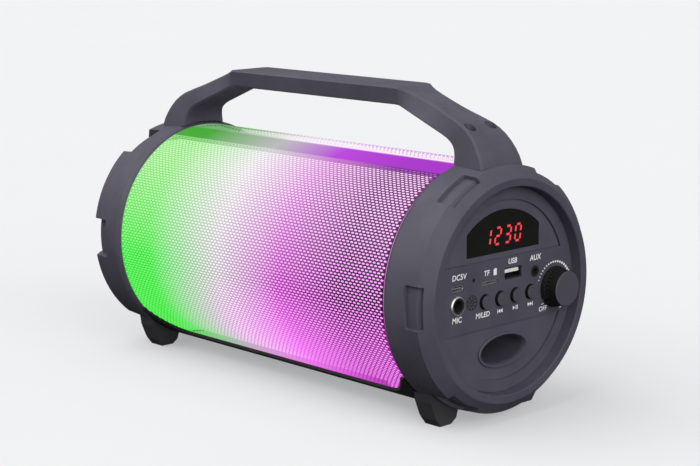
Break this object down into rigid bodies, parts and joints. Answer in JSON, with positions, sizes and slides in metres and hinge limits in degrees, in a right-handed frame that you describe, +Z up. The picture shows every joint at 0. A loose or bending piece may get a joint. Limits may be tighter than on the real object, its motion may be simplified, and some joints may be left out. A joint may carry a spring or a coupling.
{
  "type": "party speaker",
  "caption": "Round portable party speaker lying on its side, with a light-up perforated sleeve, a carrying handle, a control panel on one end and a driver on the other.",
  "frame": {"origin": "on the floor, under the middle of the overall box", "axes": "+X along the tube towards the control end, +Z up, the long side faces -Y"},
  "size_m": [0.2902, 0.1354, 0.1734],
  "materials": {
    "shell_plastic": "fine matte moulded texture, dark blue-grey",
    "panel_plastic": "fine matte moulded texture",
    "dark_plastic": "matte black",
    "lens": "smoked gloss lens",
    "button_plastic": "satin",
    "steel": "bright plated",
    "screw_steel": "zinc plated",
    "frosted": "frosted clear, lit from inside",
    "mesh_plastic": "perforated sleeve, lit from inside",
    "board": "green solder mask",
    "led_white": "white flexible strip with LEDs",
    "rubber": "soft rubber",
    "paper_cone": "pressed paper",
    "cloth": "impregnated cloth",
    "magnet": "ferrite with plated plates",
    "cell_wrap": "shrink wrap",
    "tube_board": "white moulded tube",
    "foam": "closed-cell foam",
    "mark_white": "printed white marks",
    "display_red": "lit red digits",
    "red_led": "tinted LED"
  },
  "bodies": {
    "body": {"front_cap": "shell_plastic", "rear_cap": "shell_plastic", "handle": "shell_plastic", "handle_screws": "screw_steel", "feet": "rubber", "base_rail": "dark_plastic", "grille_sleeve": "mesh_plastic", "diffuser_tube": "frosted", "top_spine": "frosted", "inner_tube": "tube_board", "led_strips": "led_white", "control_panel": "panel_plastic", "port_panel": "panel_plastic", "display_window": "lens", "display_module": "dark_plastic", "tact_switches": "dark_plastic", "volume_pot": "screw_steel", "mic_jack": "dark_plastic", "mic_jack_nut": "steel", "aux_jack": "dark_plastic", "usb_port": "steel", "usb_tongue": "led_white", "card_slot": "steel", "charge_port": "steel", "charge_led": "red_led", "mic_capsule": "steel", "bass_port": "panel_plastic", "main_board": "board", "board_screws": "screw_steel", "panel_screws": "screw_steel", "battery_cells": "cell_wrap", "battery_holder": "dark_plastic", "rear_grille": "dark_plastic", "baffle_gasket": "foam", "woofer_basket": "screw_steel", "woofer_magnet": "magnet", "woofer_surround": "rubber", "woofer_spider": "cloth", "woofer_screws": "screw_steel"},
    "button_mode": {"button_mode": "button_plastic"},
    "button_previous": {"button_previous": "button_plastic"},
    "button_play": {"button_play": "button_plastic"},
    "button_next": {"button_next": "button_plastic"},
    "knob": {"volume_knob": "button_plastic", "knob_shaft": "steel"},
    "cone": {"woofer_cone": "paper_cone", "dust_cap": "paper_cone", "voice_coil": "cloth"}
  },
  "joints": [
    {"name": "mode_press", "type": "slide", "parent": "body", "child": "button_mode", "axis": [-1, 0, 0], "range_m": [0, 0.0005], "stiffness_N_per_m": 600, "springref_m": -0.0003},
    {"name": "previous_press", "type": "slide", "parent": "body", "child": "button_previous", "axis": [-1, 0, 0], "range_m": [0, 0.0005], "stiffness_N_per_m": 600, "springref_m": -0.0003},
    {"name": "play_press", "type": "slide", "parent": "body", "child": "button_play", "axis": [-1, 0, 0], "range_m": [0, 0.0005], "stiffness_N_per_m": 600, "springref_m": -0.0003},
    {"name": "next_press", "type": "slide", "parent": "body", "child": "button_next", "axis": [-1, 0, 0], "range_m": [0, 0.0005], "stiffness_N_per_m": 600, "springref_m": -0.0003},
    {"name": "volume_turn", "type": "hinge", "parent": "body", "child": "knob", "pos_m": [0.1355, 0.04, 0.0658], "axis": [1, 0, 0], "range_deg": [-290, 0]},
    {"name": "cone_travel", "type": "slide", "parent": "body", "child": "cone", "axis": [-1, 0, 0], "range_m": [-0.002, 0.002], "stiffness_N_per_m": 1500}
  ]
}
